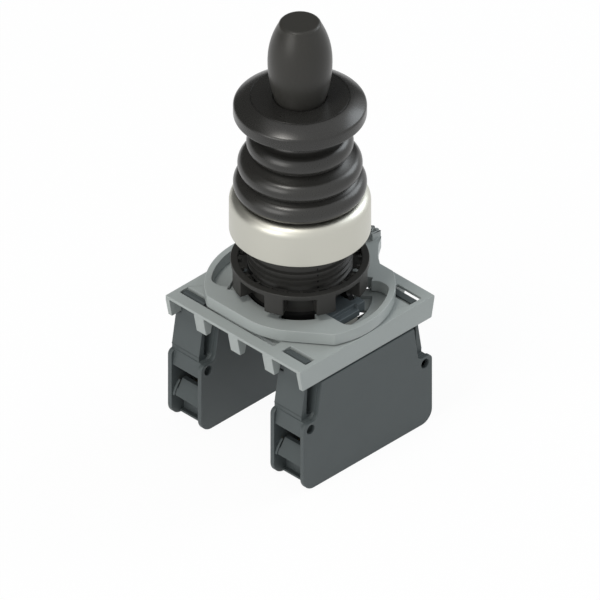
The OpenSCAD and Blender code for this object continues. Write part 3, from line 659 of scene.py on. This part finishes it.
# %% [markdown]
# ## The collar
# A turned ring with a broad rounded shoulder. Its lower edge has a small polished round, which
# shows as a bright line. The groove in its underside holds the rubber gasket, and the hollow
# inside keeps the barrel's head.

# %% Collar
collar_top = 1000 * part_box("bezel_collar")[1].z
collar_r = 1000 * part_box("bezel_collar")[1].x
shoulder, low_round, top_round = 2.3, 0.22, 0.12
groove_r, groove_top = 13.25, 1.0
hollow_r, hollow_low = 12.3, 1.6
neck_r = 11.1
broad_facets = 192
collar = turned("collar_ring", rounded(
    [[groove_r, 0], [collar_r, 0, low_round]]
    + arc(collar_r - shoulder, collar_top - shoulder, shoulder, 4, 84, 20)
    + [[hollow_r, collar_top, top_round], [hollow_r, hollow_low], [neck_r, hollow_low],
       [neck_r, groove_top], [groove_r, groove_top]]),
    "satin_metal", broad_facets)
settle(collar, "bezel_collar")

# %% [markdown]
# ## The knob and the guard disc
# The knob swells to its widest place a little below the middle and narrows to a small, nearly
# flat tip; two power curves follow that outline from base to tip. The disc below slopes gently
# down to a tight round at its edge, which catches the light. A plate with a fine joint line lies
# flush in its top, as a separate moulded piece.

# %% Knob, disc and plate
knob_low, knob_high = (1000 * corner.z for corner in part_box("knob"))
knob_r = 1000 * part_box("knob")[1].x
widest_at = 0.49
knob_wide = knob_low + widest_at * (knob_high - knob_low)
knob_base_r, knob_tip_r, knob_edge = 5.15, 4.0, 1.0


def knob_radius(z):
    """Radius of the knob at a height."""
    if z < knob_wide:
        return knob_r - (knob_r - knob_base_r) * ((knob_wide - z) / (knob_wide - knob_low)) ** 2
    return knob_r - (knob_r - knob_tip_r) * ((z - knob_wide) / (knob_high - knob_wide)) ** 2.2


edge_z = knob_high - knob_edge
side = [[knob_radius(z), z]
        for z in (knob_low + (edge_z - knob_low) * k / 40 for k in range(41))]
tip_r = side[-1][0]
bore_r, bore_top = 4.2, knob_high - 5.5
knob = turned("knob_body", [[0, bore_top], [bore_r, bore_top], [bore_r, knob_low]]
              + side + arc(tip_r - 1.05 * knob_edge, edge_z, knob_edge, 24, 86, 14)
              + [[1.8, knob_high - 0.002], [0.9, knob_high], [0, knob_high]],
              "charcoal_plastic", 128)
settle(knob, "knob")

disc_low, disc_high = (1000 * corner.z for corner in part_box("guard_disc"))
disc_r = 1000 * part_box("guard_disc")[1].x
plate_deep, rim_width, joint, joint_round = 0.8, 3.55, 0.09, 0.07
plate_r = disc_r - rim_width
under_r, under_round = 3.0, 0.55
slope_run, rim_round, rim_z = disc_r - plate_r - 0.35, 0.85, disc_low + 2.26
slope = [[plate_r + slope_run * t, disc_high - slope_run * t * (0.306 + 0.21 * t)]
         for t in (k / 12 for k in range(11, 0, -1))]
rim = arc(disc_r - rim_round, rim_z, rim_round, 0, 54, 9) + slope
disc = turned("guard_disc_body", rounded(
    [[under_r, disc_low], [disc_r, disc_low, under_round]] + rim
    + [[plate_r, disc_high, joint_round], [plate_r, disc_high - plate_deep],
       [under_r, disc_high - plate_deep]]),
    "disc_plastic", broad_facets)
settle(disc, "guard_disc")

knob_gap = 0.3
hole_r = knob_radius(disc_high) + knob_gap
plate = turned("disc_plate_body", rounded(
    [[hole_r, disc_high - plate_deep], [plate_r - joint, disc_high - plate_deep],
     [plate_r - joint, disc_high, joint_round], [hole_r, disc_high, 0.05]]),
    "disc_plastic", broad_facets)
settle(plate, "disc_plate")

# %% [markdown]
# ## Geometry Nodes: one builder for every tree
# Some pieces follow a rule: the folds of the bellows, the turns of a thread or a spring, the
# little ribs in the nut. Geometry Nodes suit them, because the rule stays visible as a few named
# sizes. One helper starts a tree with such named inputs, and another puts it on an empty object,
# sets the sizes by their sockets' own identifiers, and turns the result into a plain mesh.


# %% Tree builder
def start_tree(name, sizes):
    """A new geometry tree with named number inputs; returns its flow and the inputs."""
    tree = bpy.data.node_groups.new(name, "GeometryNodeTree")
    tree.interface.new_socket("Geometry", in_out="INPUT", socket_type="NodeSocketGeometry")
    for label, value in sizes.items():
        kind = "NodeSocketInt" if isinstance(value, int) else "NodeSocketFloat"
        socket = tree.interface.new_socket(label, in_out="INPUT", socket_type=kind)
        socket.default_value = value
    tree.interface.new_socket("Geometry", in_out="OUTPUT", socket_type="NodeSocketGeometry")
    inlet = tree.nodes.new("NodeGroupInput")
    flow = Flow(tree)
    return flow, {label: Flow(tree, inlet.outputs[label]) for label in sizes}


def end_tree(flow, shape, finish):
    """Ends a tree: real geometry, its material, and the output."""
    real = flow.node("GeometryNodeRealizeInstances", inputs={0: shape})
    dressed = flow.node("GeometryNodeSetMaterial", inputs={"Geometry": real,
                                                           "Material": finishes[finish]})
    outlet = flow.tree.nodes.new("NodeGroupOutput")
    flow.tree.links.new(dressed.socket, outlet.inputs[0])
    return flow.tree


def grown(name, tree, finish, **sizes):
    """Runs a tree with some of its sizes changed and returns the plain mesh as an object."""
    obj = new_object(name, bpy.data.meshes.new(name), finish)
    modifier = obj.modifiers.new("tree", "NODES")
    modifier.node_group = tree
    for item in tree.interface.items_tree:
        label = item.name.replace(" ", "_")
        if item.in_out == "INPUT" and label in sizes:
            modifier[item.identifier] = sizes[label]
    mesh = baked(obj)
    if not mesh.materials:
        mesh.materials.append(finishes[finish])
    bm = bmesh.new()
    bm.from_mesh(mesh)
    bmesh.ops.remove_doubles(bm, verts=bm.verts, dist=0.0005 * MM)
    bmesh.ops.recalc_face_normals(bm, faces=bm.faces)
    bm.to_mesh(mesh)
    bm.free()
    smoothed(mesh, 42)
    return obj


print("trees end in Realize Instances and Set Material")

# %% [markdown]
# ## The bellows
# Three round folds, each a little narrower than the one below, hang between the collar and the
# disc. Their radii and heights follow one quadratic rule, so the tree needs only a few sizes: it
# bends a flat grid round the axis, and each third of the grid's height becomes the arc of one
# fold. Straight strips add the lip in the collar and the neck under the disc. The wall of one
# millimetre is added afterwards.

# %% Bellows tree
TAU = 2 * math.pi
low_r, low_z, top_r, top_z = 13.9, 11.5, 11.15, 21.8
fold_r, top_wider, half_turn = 2.3, 0.2, 74.0
flow, size = start_tree("bellows_folds", {
    "Lowest radius": low_r, "Step in": 0.425, "Growing step": 0.475,
    "Lowest height": low_z, "Step up": 4.55, "Growing height": 0.3, "Fold radius": fold_r,
    "Half turn": half_turn, "Top wider": top_wider, "Around": 145, "Rows": 64})


def round_axis(flow, radius, angle, height):
    """The place in metres of a point that stands round the Z axis, its sizes in mm."""
    return flow.node("ShaderNodeCombineXYZ", inputs={
        0: radius * angle.math("COSINE") * MM,
        1: radius * angle.math("SINE") * MM, 2: height * MM})


def revolve_grid(flow, around, rows, outline):
    """A grid bent round the axis; outline gives radius and height from the share v."""
    grid = flow.node("GeometryNodeMeshGrid", inputs={
        "Size X": 1.0, "Size Y": 1.0, "Vertices X": around, "Vertices Y": rows})
    x, y = flow.node("ShaderNodeSeparateXYZ",
                     inputs={0: flow.node("GeometryNodeInputPosition")}).beside(0, 1)
    radius, height = outline(y + 0.5)
    place = round_axis(flow, radius, (x + 0.5) * TAU, height)
    return flow.node("GeometryNodeSetPosition", inputs={"Geometry": grid, "Position": place})


def fold_outline(v):
    """Radius and height along the three folds, one third of v for each."""
    steps = v * 2.9999
    fold = steps.math("FLOOR")
    lean = ((steps - fold) * 2 - 1) * size["Half turn"] * (math.pi / 180)
    outer = size["Lowest radius"] - fold * size["Step in"] - fold * fold * size["Growing step"]
    level = size["Lowest height"] + fold * size["Step up"] + fold * fold * size["Growing height"]
    top = fold.math("GREATER_THAN", 1.5)
    round_r = size["Fold radius"] + top * size["Top wider"]
    return (outer - round_r + round_r * lean.math("COSINE"),
            level + round_r * lean.math("SINE"))


def strip_outline(start, end):
    """Radius and height along a straight strip."""
    return lambda v: (start[0] + v * (end[0] - start[0]), start[1] + v * (end[1] - start[1]))


bellows_high = 1000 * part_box("bellows")[1].z
pieces = [revolve_grid(flow, size["Around"], size["Rows"], fold_outline)]
low_end = arc(low_r - fold_r, low_z, fold_r, -half_turn, 0, 1)[0]
top_fold_r = fold_r + top_wider
top_end = arc(top_r - top_fold_r, top_z, top_fold_r, half_turn, 0, 1)[0]
lip = [[12.2, 6.65], [12.2, 9.2], low_end]
neck = [top_end, [8.75, 24.65], [8.3, 25.5], [8.3, bellows_high], [4.35, bellows_high]]
for chain in (lip, neck):
    for start, end in zip(chain, chain[1:]):
        pieces.append(revolve_grid(flow, size["Around"], 3, strip_outline(start, end)))
joined = flow.node("GeometryNodeJoinGeometry")
for piece in pieces:
    flow.tree.links.new(piece.socket, joined.socket.node.inputs[0])
whole = flow.node("GeometryNodeMergeByDistance", inputs={"Geometry": joined,
                                                         "Distance": 0.01 * MM})
bellows_tree = end_tree(flow, whole, "bellows_rubber")
bellows = grown("bellows_skin", bellows_tree, "bellows_rubber")
wall = bellows.modifiers.new("wall", "SOLIDIFY")
wall.thickness = 1.0 * MM
wall.offset = -1.0
baked(bellows)
smoothed(bellows.data, 48)
print("bellows faces:", len(bellows.data.polygons))
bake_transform(bellows)
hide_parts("bellows")

# %% [markdown]
# ## The barrel's thread
# The barrel carries a coarse moulded thread for the ring nut, below a smooth band. In the CAD it
# is a plain cylinder at the thread's crest. Here the cylinder is drawn in to the thread's root
# below the band, and one tree lays a ridge on it: a chain of points climbs a helix, the ridge's
# section is swept along it, and at both ends the ridge sinks into the barrel, as a cut thread
# runs out.


# %% Helix tree, for ridges and for wound springs
def helix_tree(name, finish, sizes, path, section):
    """Sweeps a section along a helix; path gives radius and height from the share t."""
    flow, size = start_tree(name, {**sizes, "Turns": 5.0, "Steps per turn": 48})
    count = (size["Turns"] * size["Steps per turn"]).math("FLOOR") + 1
    line = flow.node("GeometryNodeMeshLine", {"mode": "OFFSET"}, {"Count": count})
    index = flow.node("GeometryNodeInputIndex")
    share = index / (count - 1)
    radius, height = path(size, share)
    place = round_axis(flow, radius, share * size["Turns"] * TAU, height)
    wound = flow.node("GeometryNodeSetPosition", inputs={"Geometry": line, "Position": place})
    curve = flow.node("GeometryNodeMeshToCurve", inputs={0: wound})
    steady = flow.node("GeometryNodeSetCurveNormal", {"mode": "Z_UP"}, {"Curve": curve})
    swept = flow.node("GeometryNodeCurveToMesh", inputs={
        "Curve": steady, "Profile Curve": section(size, flow), "Fill Caps": True})
    return end_tree(flow, swept, finish)


def thread_path(size, t):
    """Radius and height of the thread's ridge, which sinks away at both ends."""
    ends = (t * 14).math("MINIMUM", (1 - t) * 14)
    ramp = ends.math("MINIMUM", 1.0)
    return (size["Root radius"] - size["Ridge height"] * (1 - ramp) - 0.02,
            size["Start"] + t * size["Turns"] * size["Pitch"])


def thread_section(size, flow):
    """The ridge's section: four points on a line, each moved to its corner."""
    half = size["Pitch"] * 0.36
    crest = size["Pitch"] * 0.13
    tall = size["Ridge height"]
    corners = [(-0.1, half), (tall, crest), (tall, -1 * crest), (-0.1, -1 * half)]
    line = flow.node("GeometryNodeMeshLine", {"mode": "OFFSET"}, {"Count": 4})
    index = flow.node("GeometryNodeInputIndex")
    x, y = 0.0, 0.0
    for k, (cx, cy) in enumerate(corners):
        here = index.math("COMPARE", float(k), 0.1)
        x = here * cx + x
        y = here * cy + y
    place = flow.node("ShaderNodeCombineXYZ", inputs={0: x * MM, 1: y * MM})
    bent = flow.node("GeometryNodeSetPosition", inputs={"Geometry": line, "Position": place})
    curve = flow.node("GeometryNodeMeshToCurve", inputs={0: bent})
    return flow.node("GeometryNodeSetSplineCyclic", inputs={"Geometry": curve, "Cyclic": True})


root_r = 10.45
thread_tree = helix_tree("thread_ridge", "black_plastic", {
    "Root radius": root_r, "Ridge height": 0.52, "Pitch": 1.5, "Start": -12.1},
    thread_path, thread_section)
ridge = grown("barrel_thread", thread_tree, "black_plastic", Turns=5.7, Steps_per_turn=96)
low, high = Vector(ridge.bound_box[0]) * 1000, Vector(ridge.bound_box[6]) * 1000
print("thread in mm from", [round(v, 2) for v in low], "to", [round(v, 2) for v in high])

# %% [markdown]
# ## Thread and barrel as one piece
# Four cuts give the barrel's wall new corners at both ends of the thread, and all corners between
# them are drawn in. Near the pushers' windows they move along X only, so that a window stays as
# wide as the feet need it. The low part, seen through the nut's gaps, wears a darker black as
# painted shade, standing in for the shade deep behind the nut.

# %% Barrel with its thread
barrel_r = 11.0
band_low, thread_low, cut_width, painted_shade_below = -3.3, -14.3, 0.3, -9.2
window_y, wall_y = 6, 9
barrel = softened("threaded_barrel", "barrel_body", 0.08)
bm = bmesh.new()
bm.from_mesh(barrel.data)
for height in (band_low, band_low - cut_width, thread_low, thread_low - cut_width):
    bmesh.ops.bisect_plane(bm, geom=bm.verts[:] + bm.edges[:] + bm.faces[:],
                           plane_co=(0, 0, height * MM), plane_no=(0, 0, 1))
for vertex in bm.verts:
    x, y, z = vertex.co * 1000
    r = math.hypot(x, y)
    if barrel_r - 0.4 < r < barrel_r + 0.2 and thread_low - 0.1 < z < band_low - 0.2:
        share = min(max((abs(y) - window_y) / (wall_y - window_y), 0), 1)
        y *= 1 - share * (1 - root_r / r)
        vertex.co.x = math.copysign(math.sqrt(max(root_r ** 2 - y * y, 0)), x) * MM
        vertex.co.y = y * MM
extra = bmesh.new()
extra.from_mesh(ridge.data)
fresh = [bm.verts.new(v.co) for v in extra.verts]
for face in extra.faces:
    bm.faces.new([fresh[v.index] for v in face.verts]).smooth = True
bm.to_mesh(barrel.data)
bm.free()
extra.free()
bpy.data.objects.remove(ridge)
custom = barrel.data.attributes.get("custom_normal")
if custom:
    barrel.data.attributes.remove(custom)
smoothed(barrel.data, 34)
# painted shade: barrel faces low behind the nut take the darker black, for the shade there
barrel.data.materials.append(finishes["shaded_plastic"])
for face in barrel.data.polygons:
    if face.center.z < painted_shade_below * MM and face.center.xy.length < (barrel_r + 0.1) * MM:
        face.material_index = 1
settle(barrel, "threaded_barrel")

# %% [markdown]
# ## The wound springs
# Each pusher, plunger and contact bridge has a compression spring of round steel wire. A real
# one has its last turns closed flat so that it stands straight, and the turns between them are
# open. The same helix tree winds them: only the rule for the height changes, and the section is
# a circle. The pushers' and plungers' springs are wound to fill the places of their CAD springs,
# between the piece they stand on and the piece they push. A bridge's spring only rides along
# inside its plunger.


# %% Springs
def spring_path(size, t):
    """Radius and height of a wire with one closed turn at each end."""
    turns = t * size["Turns"]
    climb = ((turns - 1) / (size["Turns"] - 2)).math("MAXIMUM", 0.0).math("MINIMUM", 1.0)
    first = turns.math("MINIMUM", 1.0) * size["Wire"]
    last = (turns - size["Turns"] + 1).math("MAXIMUM", 0.0) * size["Wire"]
    free = size["Length"] - size["Wire"] * 3
    return (size["Coil radius"],
            size["Start"] + size["Wire"] / 2 + first + last + climb * free)


def wire_section(size, flow):
    """A round wire's section."""
    return flow.node("GeometryNodeCurvePrimitiveCircle",
                     inputs={"Resolution": 8, "Radius": size["Wire"] * (0.5 * MM)})


spring_tree = helix_tree("wound_spring", "steel", {
    "Coil radius": 1.85, "Wire": 0.44, "Start": 0.0, "Length": 7.0}, spring_path, wire_section)


def spring(name, node, coil, wire, turns):
    """A spring in a CAD spring's place, with the heights of its two ends."""
    low, high = (1000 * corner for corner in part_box(node))
    obj = grown(name, spring_tree, "steel", Coil_radius=coil, Wire=wire, Start=low.z,
                Length=high.z - low.z, Turns=turns, Steps_per_turn=20)
    middle = (low + high) / 2
    obj.data.transform(Matrix.Translation((middle.x * MM, middle.y * MM, 0)))
    return obj, low.z * MM, high.z * MM


for side in ("left", "right"):
    for kind, coil, wire, turns in (("pusher", 1.85, 0.42, 6.5), ("plunger", 1.7, 0.38, 6.5)):
        node = f"{kind}_spring_{side}"
        obj, low, high = spring(f"{kind}_coil_{side}", node, coil, wire, turns)
        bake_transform(obj)
        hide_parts(node)
    obj = spring(f"bridge_coil_{side}", f"bridge_spring_{side}", 1.5, 0.38, 6.0)[0]
    settle(obj, f"bridge_spring_{side}")
    print("springs on the", side)

# %% [markdown]
# ## Ribs in the nut's groove
# A ring of small ribs stands in the groove between the nut's flange and the barrel. They repeat
# evenly, so a tree puts one block on each point of a circle, turned to face the axis.

# %% Nut ribs
flow, size = start_tree("nut_ribs", {
    "Ring radius": 12.5, "Length": 0.8, "Width": 0.55, "Height": 0.9, "Top": -7.78, "Ribs": 24,
    "First angle": -43.5})
ring = flow.node("GeometryNodeMeshLine", {"mode": "OFFSET"}, {"Count": size["Ribs"]})
index = flow.node("GeometryNodeInputIndex")
angle = index * TAU / size["Ribs"] + size["First angle"] * (math.pi / 180)
place = round_axis(flow, size["Ring radius"], angle, size["Top"] - size["Height"] * 0.5)
ring = flow.node("GeometryNodeSetPosition", inputs={"Geometry": ring, "Position": place})
block = flow.node("GeometryNodeMeshCube", inputs={
    "Size": flow.node("ShaderNodeCombineXYZ", inputs={
        0: size["Length"] * MM, 1: size["Width"] * MM, 2: size["Height"] * MM})})
turn = flow.node("ShaderNodeCombineXYZ", inputs={2: angle})
spread = flow.node("GeometryNodeInstanceOnPoints", inputs={
    "Points": ring, "Instance": block, "Rotation": turn})
ribs_tree = end_tree(flow, spread, "black_plastic")
ribs = grown("nut_ribs", ribs_tree, "black_plastic")
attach(ribs, "head")
print("ribs:", len(ribs.data.polygons) // 6)
